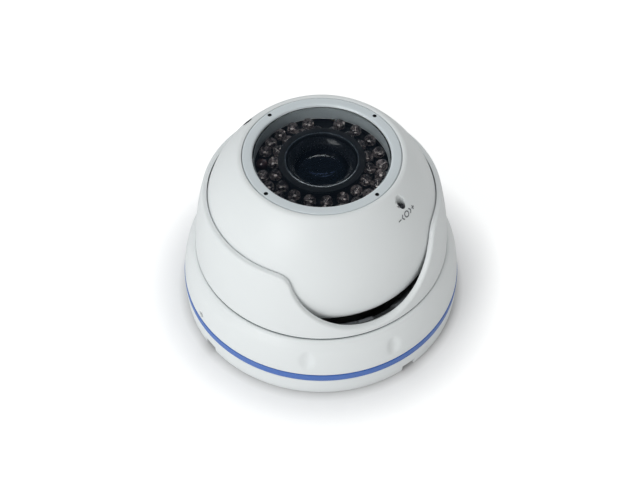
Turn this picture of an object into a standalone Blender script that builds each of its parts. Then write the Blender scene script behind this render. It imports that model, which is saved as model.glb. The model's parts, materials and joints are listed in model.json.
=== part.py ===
"""Dome security camera: a ball-shaped camera module clamped in a turning cover on a round base.

All lengths are millimetres until a mesh is made; the frame is +Z along the pan axis, away from the
mounting surface, with the base's mounting face at z = 0. Azimuths are in degrees from -Y towards +X.
"""

import math

import bmesh
import bpy
from mathutils import Matrix
from mathutils import Vector

MM = 0.001

# Driving dimensions
BASE_R = 60.0
BALL_Z = 46.6
BALL_R = 48.8
SEAT_R = 49.2
CUP_IN_R = 49.3
CUP_OUT_R = 50.9
CUP_TOP_Z = 33.2
SHELL_IN_R = 46.3
REAR_R = 44.0
REAR_IN_R = 42.0
REAR_LOW_Z = 12.5
REAR_HOLE_R = 22.0
FACE_Z = 81.9
RIM_Z = 32.2
SEAM_Z = 30.2
COVER_TOP_Z = 61.2
STRIPE_LOW_Z = 9.4
STRIPE_TOP_Z = 13.2
FLOOR_T = 2.6
FLOOR_HOLE_R = 33.0
SKIRT_R = 50.4
LIP_R = 51.0
WALL_IN_R = 56.9
FITTED_R = 56.6

GAP = 0.35

NOTCH_AZ = 26.0
NOTCH_LOW_Z = 33.4
RIM_NOTCH_AZ = 38.5
DIMPLE_AZ = (-5.4, 30.8, 174.6, 210.8)
LOCK_AZ = (-58.0, 122.0)
LOCK_Z = 16.0
MOUNT_HOLE_AZ = (90.0, 210.0, 330.0)
MOUNT_HOLE_R = 2.3
MOUNT_PITCH_R = 44.0
CUP_SCREW_R = 48.6
CUP_SCREW_AZ = (0.0, 120.0, 240.0)
CRENEL_AZ = 31.8

BEZEL_OUT_R = 31.7
BEZEL_IN_R = 27.7
BEZEL_SCREW_R = 30.3
BEZEL_SCREW_AZ = (45.0, 135.0, 225.0, 315.0)
INNER_WALL_R = 27.2
PLATE_LOW_Z = 74.0

BOARD_LOW_Z = 69.0
BOARD_TOP_Z = 70.6
HOLDER_LOW_Z = 70.9
HOLDER_TOP_Z = 73.2
LED_R = 2.5
LED_DOME_Z = 74.6
INNER_LED_R = 19.2
INNER_LED_FIRST_AZ = 6.0
INNER_LED_STEP = 20.0
INNER_LED_COUNT = 18
OUTER_LED_R = 24.1
OUTER_LED_AZ = (3, 19, 35, 50.5, 66, 78.5, 91.5, 108, 126, 145, 163, 194, 210, 225, 239.5, 252,
                284, 299, 315, 331, 347)
SENSOR_AZ = 268.0

DRIVE_R = 37.4
FOCUS_AZ = 55.0
ZOOM_AZ = 235.0
PINION_TEETH = 8
RING_TEETH = 66
MODULE = 2 * DRIVE_R / (PINION_TEETH + RING_TEETH)
FOCUS_GEAR_Z = 59.0
ZOOM_GEAR_Z = 51.2
GEAR_T = 2.0
SECTOR_TEETH_EACH_SIDE = 5
BALL_AT = (0.0, 0.0, BALL_Z)
POST_AZ = (120.0, 170.0, 300.0, 350.0)
POST_R = 31.0

BIG = 36
MID = 28
SMALL = 14
TINY = 10

for old in list(bpy.data.objects):
    bpy.data.objects.remove(old, do_unlink=True)

scene = bpy.context.scene
parts = bpy.data.collections.new("dome_camera")
cutters = bpy.data.collections.new("cutters")
scene.collection.children.link(parts)
scene.collection.children.link(cutters)


def material(name, colour, roughness, metallic=0.0):
    made = bpy.data.materials.new(name)
    made.use_nodes = True
    shader = made.node_tree.nodes["Principled BSDF"]
    shader.inputs["Base Color"].default_value = (*colour, 1.0)
    shader.inputs["Roughness"].default_value = roughness
    shader.inputs["Metallic"].default_value = metallic
    return made


WHITE = material("white_paint", (0.80, 0.82, 0.82), 0.4)
BEZEL = material("bezel_grey", (0.60, 0.64, 0.66), 0.35)
BLUE = material("blue_trim", (0.07, 0.17, 0.42), 0.45)
BLACK = material("black_plastic", (0.012, 0.012, 0.014), 0.5)
DARK = material("dark_plastic", (0.05, 0.055, 0.06), 0.55)
RUBBER = material("black_rubber", (0.02, 0.02, 0.02), 0.8)
STEEL = material("steel", (0.55, 0.55, 0.56), 0.3, 1.0)
DARK_STEEL = material("dark_steel", (0.12, 0.12, 0.13), 0.4, 1.0)
BRASS = material("brass", (0.75, 0.58, 0.3), 0.35, 1.0)
GLASS = material("clear_glass", (0.9, 0.93, 0.94), 0.05)
LENS = material("lens_glass", (0.03, 0.05, 0.09), 0.05)
LED_CLEAR = material("led_epoxy", (0.75, 0.68, 0.66), 0.15)
BOARD = material("green_board", (0.02, 0.12, 0.06), 0.5)
CHIP = material("chip_black", (0.02, 0.02, 0.025), 0.3)
SENSOR = material("sensor_red", (0.10, 0.02, 0.02), 0.25)


def polar(azimuth, radius):
    """The x and y of a point at this azimuth, counted from -Y towards +X."""
    angle = math.radians(azimuth)
    return radius * math.sin(angle), -radius * math.cos(angle)


def arc(radius, z_from, z_to, count):
    """Points (r, z) on a sphere about the ball's centre, from one height to another."""
    start = math.asin((z_from - BALL_Z) / radius)
    end = math.asin((z_to - BALL_Z) / radius)
    points = []
    for i in range(count):
        angle = start + (end - start) * i / (count - 1)
        points.append((radius * math.cos(angle), BALL_Z + radius * math.sin(angle)))
    return points


def cylinder(radius, z_low, z_high, centre=(0.0, 0.0), sides=TINY):
    """An upright round bar about centre, for a cutter."""
    bm = bmesh.new()
    bmesh.ops.create_cone(bm, cap_ends=True, segments=sides, radius1=radius, radius2=radius,
                          depth=z_high - z_low)
    bmesh.ops.translate(bm, verts=bm.verts[:], vec=(centre[0], centre[1], 0.5 * (z_low + z_high)))
    return bm


def prism(outline, z_low, z_high):
    """A flat outline of (x, y) points given thickness, from one height to another."""
    curve = bpy.data.curves.new("outline", "CURVE")
    curve.dimensions = "2D"
    curve.fill_mode = "BOTH"
    curve.extrude = 0.5 * (z_high - z_low)
    spline = curve.splines.new("POLY")
    spline.points.add(len(outline) - 1)
    for point, (x, y) in zip(spline.points, outline):
        point.co = (x, y, 0.0, 1.0)
    spline.use_cyclic_u = True
    drawn = bpy.data.objects.new("outline", curve)
    cutters.objects.link(drawn)
    graph = bpy.context.evaluated_depsgraph_get()
    mesh = bpy.data.meshes.new_from_object(drawn.evaluated_get(graph))
    bm = bmesh.new()
    bm.from_mesh(mesh)
    bmesh.ops.remove_doubles(bm, verts=bm.verts[:], dist=1e-4)
    bmesh.ops.translate(bm, verts=bm.verts[:], vec=(0.0, 0.0, 0.5 * (z_low + z_high)))
    bpy.data.objects.remove(drawn, do_unlink=True)
    bpy.data.curves.remove(curve)
    bpy.data.meshes.remove(mesh)
    return bm


def block(centre, size, azimuth=0.0):
    """A box whose first side lies across and second side along the outward direction at azimuth."""
    bm = bmesh.new()
    bmesh.ops.create_cube(bm, size=1.0)
    bmesh.ops.scale(bm, verts=bm.verts[:], vec=size)
    bmesh.ops.rotate(bm, verts=bm.verts[:], cent=(0, 0, 0),
                     matrix=Matrix.Rotation(math.radians(azimuth), 3, "Z"))
    bmesh.ops.translate(bm, verts=bm.verts[:], vec=centre)
    return bm


def outward(azimuth):
    """The turn that takes +Z to the outward direction at azimuth."""
    return Matrix.Rotation(math.radians(azimuth - 90.0), 4, "Z") @ Matrix.Rotation(math.pi / 2, 4, "Y")


def merged(solids):
    """Several separate solids in one mesh, for a cutter."""
    whole = bmesh.new()
    for solid in solids:
        mesh = bpy.data.meshes.new("merge")
        solid.to_mesh(mesh)
        solid.free()
        whole.from_mesh(mesh)
        bpy.data.meshes.remove(mesh)
    return whole


def made_object(name, bm, collection, at):
    """An object with its origin at the point at, holding this geometry in place."""
    bmesh.ops.translate(bm, verts=bm.verts[:], vec=(-at[0], -at[1], -at[2]))
    bmesh.ops.scale(bm, verts=bm.verts[:], vec=(MM, MM, MM))
    mesh = bpy.data.meshes.new(name)
    bm.to_mesh(mesh)
    bm.free()
    made = bpy.data.objects.new(name, mesh)
    made.location = Vector(at) * MM
    collection.objects.link(made)
    return made


def part(name, bm, look, at=(0.0, 0.0, 0.0)):
    made = made_object(name, bm, parts, at)
    made.data.materials.append(look)
    return made


def turned(name, profile, steps, look, at=(0.0, 0.0, 0.0)):
    """A part turned about the vertical axis through at, from (r, z) points, outer side running down.

    The loop is closed, except where it would run along the axis. Heights are in the shared frame.
    """
    bm = bmesh.new()
    ring = [bm.verts.new((r, 0.0, z)) for r, z in profile]
    for i, vertex in enumerate(ring):
        following = (i + 1) % len(ring)
        if profile[i][0] > 0 or profile[following][0] > 0:
            bm.edges.new((vertex, ring[following]))
    made = part(name, bm, look, (0.0, 0.0, at[2]))
    made.location = Vector(at) * MM
    screw = made.modifiers.new("turn", "SCREW")
    screw.steps = steps
    screw.render_steps = steps
    screw.use_merge_vertices = True
    screw.merge_threshold = 1e-5
    return made


def cut(target, bm, label, operation="DIFFERENCE"):
    """Cuts a helper solid out of a part, or joins it on."""
    helper = made_object(target.name + "_" + label, bm, cutters, (0.0, 0.0, 0.0))
    helper.hide_render = True
    helper.display_type = "WIRE"
    step = target.modifiers.new(label, "BOOLEAN")
    step.operation = operation
    step.solver = "EXACT"
    step.object = helper


def machine_screw(name, centre, z_tip, z_head, z_top, shaft_r, head_r, look):
    """A small machine screw, head up, with a round drive recess."""
    depth = 0.55 * (z_top - z_head)
    profile = [(0.0, z_top - depth), (0.4 * head_r, z_top - depth), (0.4 * head_r, z_top),
               (head_r, z_top), (head_r, z_head), (shaft_r, z_head), (shaft_r, z_tip), (0.0, z_tip)]
    return turned(name, profile, TINY, look, (*centre, z_head))


def gear_outline(teeth, pitch_r, first, last):
    """Outer points of straight-sided teeth, from tooth number first to last, tooth 0 at angle 0."""
    root = pitch_r - 1.05 * MODULE
    tip = pitch_r + 0.72 * MODULE
    half_root = 0.86 * MODULE
    half_tip = 0.30 * MODULE
    points = []
    for tooth in range(first, last + 1):
        middle = 2 * math.pi * tooth / teeth
        for radius, half in ((root, -half_root), (tip, -half_tip), (tip, half_tip), (root, half_root)):
            angle = middle + half / radius
            points.append((radius * math.cos(angle), radius * math.sin(angle)))
    return points


def swung(points, degrees, centre=(0.0, 0.0)):
    """Flat points turned about the origin, then moved to centre."""
    angle = math.radians(degrees)
    return [(centre[0] + x * math.cos(angle) - y * math.sin(angle),
             centre[1] + x * math.sin(angle) + y * math.cos(angle)) for x, y in points]


def bezier(a, b, c, d, count):
    """Points on a cubic curve, leaving out the last one."""
    points = []
    for i in range(count):
        t = i / count
        s = 1 - t
        weights = (s ** 3, 3 * s * s * t, 3 * s * t * t, t ** 3)
        points.append(tuple(sum(w * p[k] for w, p in zip(weights, (a, b, c, d))) for k in (0, 1)))
    return points


def notch_cutter():
    """The U-shaped notch as a solid across one side, in the upright plane square to its azimuth."""
    steep = bezier((0.0, NOTCH_LOW_Z), (15.5, NOTCH_LOW_Z), (26.0, 43.5), (30.4, 56.0), 9)
    steep += bezier((30.4, 56.0), (31.4, 59.4), (32.8, 61.3), (36.6, 61.7), 4)
    steep += [(36.6, 61.7), (36.6, 70.0)]
    wide = bezier((0.0, NOTCH_LOW_Z), (19.0, NOTCH_LOW_Z), (30.0, 43.5), (32.0, 56.0), 9)
    wide += bezier((32.0, 56.0), (32.5, 60.0), (33.4, 61.5), (37.0, 61.7), 4)
    wide += [(37.0, 61.7), (37.0, 70.0)]
    outline = steep + [(-x, z) for x, z in reversed(wide[1:])]
    bm = prism(outline, 28.0, 62.0)
    # The outline's own up direction becomes +Z, and its thickness runs outwards.
    stand = Matrix.Rotation(math.radians(NOTCH_AZ), 4, "Z") @ Matrix.Rotation(math.pi / 2, 4, "X")
    bmesh.ops.transform(bm, verts=bm.verts[:], matrix=stand)
    return bm


# Base

base_profile = [
    (LIP_R, SEAM_Z), (53.6, SEAM_Z), (55.2, 29.4), (57.1, 26.6), (58.5, 22.6), (59.3, 18.0),
    (59.8, STRIPE_TOP_Z), (59.0, STRIPE_TOP_Z), (59.0, STRIPE_LOW_Z), (BASE_R, STRIPE_LOW_Z),
    (BASE_R, 4.0), (59.8, 1.0), (59.2, 0.0), (WALL_IN_R, 0.0), (WALL_IN_R, 22.9), (54.8, 22.9),
    (54.8, 26.6), (LIP_R, 26.6)]
base = turned("base_housing", base_profile, BIG, WHITE)
rim_notches = []
dimples = []
for i in range(4):
    azimuth = RIM_NOTCH_AZ + 90.0 * i
    rim_notches.append(block((*polar(azimuth, 59.2), 1.3), (6.5, 6.0, 4.8), azimuth))
for azimuth in DIMPLE_AZ:
    dimple = bmesh.new()
    bmesh.ops.create_uvsphere(dimple, u_segments=10, v_segments=8, radius=1.0)
    bmesh.ops.scale(dimple, verts=dimple.verts[:], vec=(3.3, 1.7, 5.2))
    bmesh.ops.rotate(dimple, verts=dimple.verts[:], cent=(0, 0, 0),
                     matrix=Matrix.Rotation(math.radians(azimuth), 3, "Z"))
    bmesh.ops.translate(dimple, verts=dimple.verts[:], vec=(*polar(azimuth, 59.6), 21.6))
    dimples.append(dimple)
cut(base, merged(rim_notches), "rim_notches")
cut(base, merged(dimples), "dimples")
lock_holes = []
for azimuth in LOCK_AZ:
    hole = cylinder(1.3, 54.0, 62.0)
    bmesh.ops.transform(hole, verts=hole.verts[:],
                        matrix=Matrix.Translation((0.0, 0.0, LOCK_Z)) @ outward(azimuth))
    lock_holes.append(hole)
mount_holes = [cylinder(MOUNT_HOLE_R, -2.0, 5.0, polar(azimuth, MOUNT_PITCH_R), SMALL)
               for azimuth in MOUNT_HOLE_AZ]
cut(base, merged(lock_holes), "lock_holes")

plate_profile = [(FLOOR_HOLE_R, FLOOR_T), (FITTED_R, FLOOR_T), (FITTED_R, 0.0), (55.5, 0.0), (55.5, 1.2),
                 (52.2, 1.2), (52.2, 0.0), (FLOOR_HOLE_R, 0.0)]
plate = turned("mounting_plate", plate_profile, BIG, WHITE)
cut(plate, merged(mount_holes), "mount_holes")
turned("retaining_ring", [(LIP_R, 22.6), (FITTED_R, 22.6), (FITTED_R, 19.8), (LIP_R, 19.8)], BIG, DARK)

turned("blue_trim_ring", [(59.3, 13.0), (BASE_R, 13.0), (BASE_R, 9.6), (59.3, 9.6)], BIG, BLUE)
turned("base_gasket", [(52.8, 0.9), (55.1, 0.9), (55.1, 0.1), (52.8, 0.1)], MID, RUBBER)
turned("pan_glide_ring", [(51.3, 23.9), (54.2, 23.9), (54.2, 22.9), (51.3, 22.9)], MID, DARK)
for i, azimuth in enumerate(LOCK_AZ):
    grub_profile = [(0.0, 3.0), (0.45, 3.0), (0.45, 4.0), (1.0, 4.0), (1.0, -3.5), (0.5, -4.1), (0.0, -4.1)]
    grub = turned("lock_screw_%d" % (i + 1), grub_profile, TINY, DARK_STEEL)
    grub.location = Vector((*polar(azimuth, 55.0), LOCK_Z)) * MM
    grub.rotation_euler = outward(azimuth).to_euler()

# Turret: turns on the pan axis

cover_profile = [
    (47.5, 60.6), (48.3, COVER_TOP_Z), (49.1, 60.7), (49.9, 58.6), (51.0, 53.5), (52.0, 48.0),
    (52.8, 42.5), (53.4, 37.0), (53.8, 32.0), (53.6, SEAM_Z + GAP), (SKIRT_R, SEAM_Z + GAP),
    (SKIRT_R, 26.2), (54.2, 26.2), (54.2, 24.2), (SKIRT_R, 24.2), (SKIRT_R, 13.0), (46.8, 13.0),
    (46.8, 20.0), (48.5, 24.0), (48.5, 30.0), (50.6, 32.2), (50.9, 36.0), (50.7, 41.0), (50.1, 46.0),
    (49.5, 50.0)]
cover = turned("clamp_cover", cover_profile + arc(SEAT_R, 53.0, 60.2, 4), BIG, WHITE)
cut(cover, notch_cutter(), "notch")
cut(cover, merged([cylinder(1.3, 11.0, 18.5, polar(azimuth, CUP_SCREW_R)) for azimuth in CUP_SCREW_AZ]),
    "screw_holes")

cup_profile = ([(SKIRT_R, 12.7), (SKIRT_R, 11.0)] + arc(CUP_IN_R, 11.0, 30.5, 5)
               + [(48.5, CUP_TOP_Z), (50.1, CUP_TOP_Z), (50.1, 32.7), (49.0, 31.3)]
               + arc(CUP_OUT_R, 30.3, 12.7, 5))
cup = turned("ball_cup", cup_profile, BIG, DARK)
cut(cup, merged([block((*polar(CRENEL_AZ + 60 * i, 49.0), 31.5), (11.0, 12.0, 9.0), CRENEL_AZ + 60 * i)
                 for i in range(6)]), "crenels")
cut(cup, merged([cylinder(1.3, 9.0, 14.0, polar(azimuth, CUP_SCREW_R)) for azimuth in CUP_SCREW_AZ]),
    "screw_holes")
for i, azimuth in enumerate(CUP_SCREW_AZ):
    cup_screw_profile = [(0.0, 17.5), (0.95, 17.5), (0.95, 10.7), (1.7, 10.7), (1.7, 9.3), (0.7, 9.3),
                         (0.7, 10.1), (0.0, 10.1)]
    turned("cup_screw_%d" % (i + 1), cup_screw_profile, TINY, STEEL, (*polar(azimuth, CUP_SCREW_R), 10.7))

# Rear half of the ball: turns on the tilt axis

rear_profile = (arc(REAR_R, 38.0, REAR_LOW_Z, 6) + [(REAR_HOLE_R, REAR_LOW_Z), (REAR_HOLE_R, REAR_LOW_Z + 2.0)]
                + arc(REAR_IN_R, REAR_LOW_Z + 2.0, 38.0, 5))
turned("rear_shell", rear_profile, MID, BLACK, BALL_AT)
rear_plate_r = REAR_HOLE_R - 0.3
rear_plate_profile = [(5.2, REAR_LOW_Z + 2.0), (rear_plate_r, REAR_LOW_Z + 2.0), (rear_plate_r, REAR_LOW_Z),
                      (5.2, REAR_LOW_Z)]
turned("rear_plate", rear_plate_profile, MID, BLACK, BALL_AT)
gland_profile = [(3.2, 18.5), (4.7, 18.5), (4.7, 12.2), (7.5, 12.2), (7.5, 9.6), (6.2, 8.6), (5.4, 4.6),
                 (3.2, 4.6)]
turned("cable_gland", gland_profile, 20, RUBBER, BALL_AT)
turned("gland_nut", [(5.8, 17.3), (8.6, 17.3), (8.6, 14.8), (5.8, 14.8)], 6, STEEL, BALL_AT)
turned("main_board", [(0.0, 28.6), (34.5, 28.6), (34.5, 27.0), (0.0, 27.0)], MID, BOARD, BALL_AT)
part("board_connector", block((0.0, 14.0, 31.2), (16.0, 6.0, 4.6)), WHITE, BALL_AT)
part("processor_chip", block((0.0, -8.0, 29.7), (12.0, 12.0, 1.6)), CHIP, BALL_AT)

# Front half of the ball: turns about the lens axis on the rear half

shell_profile = [(32.0, 80.2), (32.0, 81.7), (32.3, FACE_Z), (33.3, FACE_Z)]
shell_profile += arc(BALL_R, 81.55, 36.0, 10)
shell_profile += [(46.9, 34.1), (46.0, 32.8), (44.8, RIM_Z), (44.0, 32.6), (43.9, 33.6)]
shell_profile += arc(SHELL_IN_R, 35.6, PLATE_LOW_Z, 6)
shell_profile += [(INNER_WALL_R, PLATE_LOW_Z), (INNER_WALL_R, 77.5), (28.9, 77.5), (28.9, 80.2)]
front = turned("front_shell", shell_profile, BIG, WHITE, BALL_AT)
drive_holes = [cylinder(2.0, 70.0, 90.0, polar(azimuth, DRIVE_R), SMALL) for azimuth in (FOCUS_AZ, ZOOM_AZ)]
thread_holes = [cylinder(0.75, 75.8, 83.0, polar(azimuth, BEZEL_SCREW_R)) for azimuth in BEZEL_SCREW_AZ]
cut(front, merged(drive_holes + thread_holes), "holes")

bezel_profile = [(BEZEL_IN_R, 81.5), (28.0, 81.85), (31.3, 81.85), (BEZEL_OUT_R, 81.5),
                 (BEZEL_OUT_R, 80.5), (BEZEL_IN_R, 80.5)]
bezel = turned("bezel_ring", bezel_profile, BIG, BEZEL, BALL_AT)
cut(bezel, merged([cylinder(0.95, 79.0, 83.0, polar(azimuth, BEZEL_SCREW_R)) for azimuth in BEZEL_SCREW_AZ]),
    "screw_holes")
for i, azimuth in enumerate(BEZEL_SCREW_AZ):
    machine_screw("bezel_screw_%d" % (i + 1), polar(azimuth, BEZEL_SCREW_R), 76.2, 80.6, 81.4, 0.45, 0.65,
                  DARK_STEEL)
glass_profile = [(0.0, 80.8), (27.1, 80.8), (27.4, 80.5), (27.4, 80.1), (28.6, 80.1), (28.6, 78.8),
                 (0.0, 78.8)]
turned("front_glass", glass_profile, BIG, GLASS, BALL_AT)
turned("glass_gasket", [(27.5, 78.5), (28.5, 78.5), (28.5, 77.8), (27.5, 77.8)], MID, RUBBER, BALL_AT)

board_profile = [(15.0, BOARD_TOP_Z), (35.2, BOARD_TOP_Z), (35.2, BOARD_LOW_Z), (15.0, BOARD_LOW_Z)]
turned("led_board", board_profile, MID, BOARD, BALL_AT)


def led(azimuth, radius):
    """One round-nosed LED standing in its holder: a ball whose lower half is drawn out to a stem."""
    stem = LED_DOME_Z - 0.5 * (HOLDER_LOW_Z + HOLDER_TOP_Z)
    bm = bmesh.new()
    bmesh.ops.create_uvsphere(bm, u_segments=6, v_segments=4, radius=LED_R)
    low = [vertex for vertex in bm.verts if vertex.co.z < -0.1 * LED_R]
    bmesh.ops.translate(bm, verts=low, vec=(0.0, 0.0, LED_R - stem))
    bmesh.ops.translate(bm, verts=bm.verts[:], vec=(*polar(azimuth, radius), LED_DOME_Z))
    return bm


def led_ring(name, inner_r, outer_r, leds):
    """A flat holder ring with its LEDs standing up from it."""
    profile = [(inner_r, HOLDER_TOP_Z), (outer_r, HOLDER_TOP_Z),
               (outer_r, HOLDER_LOW_Z), (inner_r, HOLDER_LOW_Z)]
    cut(turned(name, profile, MID, LED_CLEAR, BALL_AT), merged(leds), "leds", "UNION")


led_ring("led_ring_inner", 16.6, 21.4,
         [led(INNER_LED_FIRST_AZ + INNER_LED_STEP * i, INNER_LED_R) for i in range(INNER_LED_COUNT)])
led_ring("led_ring_outer", 22.0, 26.8, [led(azimuth, OUTER_LED_R) for azimuth in OUTER_LED_AZ])
turned("light_sensor", [(0.0, 76.0), (1.7, 75.8), (2.3, 75.2), (2.3, 73.5), (0.0, 73.5)], SMALL, SENSOR,
       (*polar(SENSOR_AZ, OUTER_LED_R), 73.5))
shroud_profile = [(14.9, 78.4), (17.1, 78.4), (17.1, 77.5), (16.2, 76.6), (16.2, 70.9), (14.6, 70.9),
                  (14.6, 77.6)]
turned("lens_shroud", shroud_profile, MID, BLACK, BALL_AT)

for i, azimuth in enumerate(POST_AZ):
    post_profile = [(0.0, 68.7), (2.2, 68.7), (2.2, 48.3), (0.0, 48.3)]
    turned("bracket_post_%d" % (i + 1), post_profile, 6, BRASS, (*polar(azimuth, POST_R), 48.3))
    spacer_profile = [(0.0, 73.7), (2.2, 73.7), (2.2, 70.9), (0.0, 70.9)]
    turned("board_spacer_%d" % (i + 1), spacer_profile, 6, BRASS, (*polar(azimuth, POST_R), 70.9))
bracket = turned("lens_bracket", [(9.5, 48.0), (43.0, 48.0), (43.0, 46.0), (9.5, 46.0)], MID, STEEL, BALL_AT)
cut(bracket, merged([cylinder(1.9, 44.0, 50.0, polar(azimuth, DRIVE_R)) for azimuth in (FOCUS_AZ, ZOOM_AZ)]),
    "pivot_holes")
turned("lens_mount", [(8.6, 50.1), (15.8, 50.1), (15.8, 48.3), (8.6, 48.3)], 20, DARK, BALL_AT)
barrel_profile = [(7.6, 58.3), (12.9, 58.3), (13.4, 57.8), (13.4, 50.4), (7.6, 50.4)]
turned("lens_barrel", barrel_profile, 20, BLACK, BALL_AT)
rear_lens_profile = [(0.0, 54.6), (3.6, 54.2), (7.2, 53.0), (7.2, 52.4), (3.6, 51.5), (0.0, 51.2)]
turned("lens_rear_element", rear_lens_profile, 20, LENS, BALL_AT)
part("sensor_board", block((0.0, 0.0, 44.4), (34.0, 34.0, 1.6)), BOARD, BALL_AT)
part("image_sensor", block((0.0, 0.0, 46.2), (12.0, 10.0, 1.4)), CHIP, BALL_AT)
seal_profile = [(44.1 + 0.7 * math.cos(math.pi * i / 3), 37.2 - 0.7 * math.sin(math.pi * i / 3))
                for i in range(6)]
turned("swivel_seal", seal_profile, BIG, RUBBER, BALL_AT)

# Lens front group: slides along the lens axis as the focus ring turns

cell_profile = [(12.7, 77.2), (13.9, 77.2), (13.9, 60.0), (9.0, 60.0), (9.0, 70.2), (11.2, 72.0),
                (11.2, 75.2)]
turned("lens_front_cell", cell_profile, MID, BLACK, BALL_AT)
front_lens_profile = [(0.0, 75.4), (4.0, 75.1), (8.0, 74.2), (10.8, 73.0), (10.8, 72.4), (5.0, 72.3),
                      (0.0, 72.3)]
turned("lens_front_element", front_lens_profile, MID, LENS, BALL_AT)

# Focus and zoom drives: a toothed sector on each lens ring, turned by a slotted adjuster


def ring_with_sector(name, azimuth, sector_z, ring_top):
    """A lens ring whose toothed sector points at azimuth."""
    profile = [(14.2, ring_top), (16.6, ring_top), (16.6, sector_z), (14.2, sector_z)]
    ring = turned(name, profile, MID, DARK, BALL_AT)
    pitch_r = 0.5 * MODULE * RING_TEETH
    outline = gear_outline(RING_TEETH, pitch_r, -SECTOR_TEETH_EACH_SIDE, SECTOR_TEETH_EACH_SIDE)
    spread = math.atan2(outline[-1][1], outline[-1][0])
    inner = [(15.4 * math.cos(spread * (1 - i / 4)), 15.4 * math.sin(spread * (1 - i / 4))) for i in range(9)]
    cut(ring, prism(swung(outline + inner, azimuth - 90), sector_z, sector_z + GEAR_T), "sector", "UNION")


def adjuster(name, azimuth, sector_z):
    """A vertical shaft with a pinion in mesh with the sector and a screwdriver slot on top."""
    centre = polar(azimuth, DRIVE_R)
    shaft_profile = [(0.0, 75.2), (1.5, 75.2), (1.5, 46.4), (0.0, 46.4)]
    shaft = turned(name, shaft_profile, SMALL, BRASS, (*centre, BALL_Z))
    pitch_r = 0.5 * MODULE * PINION_TEETH
    # A gap between two pinion teeth faces the sector's middle tooth.
    facing = azimuth - 90 + 180 + 180 / PINION_TEETH
    outline = swung(gear_outline(PINION_TEETH, pitch_r, 0, PINION_TEETH - 1), facing, centre)
    cut(shaft, prism(outline, sector_z - 0.4, sector_z + GEAR_T + 0.4), "pinion", "UNION")
    cut(shaft, block((*centre, 75.2), (4.0, 0.7, 1.8), azimuth + 30.0), "slot")


ring_with_sector("focus_ring", FOCUS_AZ, FOCUS_GEAR_Z, 65.5)
adjuster("focus_adjuster", FOCUS_AZ, FOCUS_GEAR_Z)
ring_with_sector("zoom_ring", ZOOM_AZ, ZOOM_GEAR_Z, 57.2)
adjuster("zoom_adjuster", ZOOM_AZ, ZOOM_GEAR_Z)
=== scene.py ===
"""Looks of the dome camera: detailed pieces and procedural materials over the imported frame.

Profiles are lists of (radius, height) in millimetres about the product's upright axis.
A piece that names its CAD node is raised or lowered to stand where that node stands.
Azimuths count from -Y towards +X, in degrees.
"""
import json
import math
import random

import bmesh
import bpy
import numpy as np
from mathutils import Matrix, Vector


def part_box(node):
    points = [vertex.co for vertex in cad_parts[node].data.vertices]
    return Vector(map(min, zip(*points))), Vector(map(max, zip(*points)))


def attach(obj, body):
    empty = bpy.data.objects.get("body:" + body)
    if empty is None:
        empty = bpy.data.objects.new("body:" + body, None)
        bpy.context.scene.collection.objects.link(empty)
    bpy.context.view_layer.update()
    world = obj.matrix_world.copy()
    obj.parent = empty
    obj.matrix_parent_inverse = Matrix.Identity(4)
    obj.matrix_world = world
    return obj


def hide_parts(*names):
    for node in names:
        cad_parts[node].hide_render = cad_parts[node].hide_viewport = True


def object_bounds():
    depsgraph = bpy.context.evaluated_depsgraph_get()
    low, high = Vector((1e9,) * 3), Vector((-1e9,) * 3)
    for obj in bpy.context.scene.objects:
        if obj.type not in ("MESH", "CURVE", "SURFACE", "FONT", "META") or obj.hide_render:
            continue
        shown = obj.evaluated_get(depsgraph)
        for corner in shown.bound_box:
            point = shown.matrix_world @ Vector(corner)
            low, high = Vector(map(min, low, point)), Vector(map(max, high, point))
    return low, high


MM = 0.001
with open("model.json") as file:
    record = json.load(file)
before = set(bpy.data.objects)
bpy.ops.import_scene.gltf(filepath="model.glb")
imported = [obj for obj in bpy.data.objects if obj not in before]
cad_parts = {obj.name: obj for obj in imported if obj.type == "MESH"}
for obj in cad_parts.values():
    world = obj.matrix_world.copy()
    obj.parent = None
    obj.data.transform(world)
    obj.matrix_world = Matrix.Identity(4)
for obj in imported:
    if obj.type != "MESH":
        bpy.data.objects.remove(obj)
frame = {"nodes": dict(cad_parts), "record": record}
cad_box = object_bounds()
scene = bpy.context.scene
scene.view_settings.view_transform = "Standard"

# Steps round a turned piece, from the outside of the base down to lamps and screws.
BASE_STEPS = 360
ROUND = 256
LENS_STEPS = 192
FINE = 96
SMALL = 32
TINY = 24

# Faces that meet at less than this angle are shaded as one curve, where a piece doesn't say otherwise.
SMOOTH_DEG = 32.0

# The ball's centre height and radius.
BALL_Z = 46.6
BALL_R = 48.8

# Azimuths of the features that repeat, and the circles they stand on.
NOTCH_AZ = 26.0
DIMPLE_AZ = (-5.4, 30.8, 174.6, 210.8)
RIM_NOTCH_AZ = (38.5, 128.5, 218.5, 308.5)
LOCK_SCREW_AZ = (-58.0, 122.0)
BOLT_AZ = (90.0, 210.0, 330.0)
BOLT_CIRCLE = 44.0
BEZEL_SCREW_AZ = (45.0, 135.0, 225.0, 315.0)
BEZEL_SCREW_CIRCLE = 30.3
FOCUS_HOLE_AZ = 55.0
ZOOM_HOLE_AZ = 235.0
ADJUSTER_CIRCLE = 37.4


# ---------------------------------------------------------------- materials

# Most of a noise texture's values lie in this span.
NOISE_SPAN = (0.3, 0.7)
GLOSS_SPREAD = 0.06

# Sockets of a Mix node that blends colours.
MIX_FACTOR, MIX_A, MIX_B = 0, 6, 7
MIX_RESULT = 2


def shader_of(name):
    made = bpy.data.materials.new(name)
    made.use_nodes = True
    return made, made.node_tree, made.node_tree.nodes["Principled BSDF"]


def node(tree, kind, **values):
    made = tree.nodes.new(kind)
    for key, value in values.items():
        setattr(made, key, value)
    return made


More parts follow.
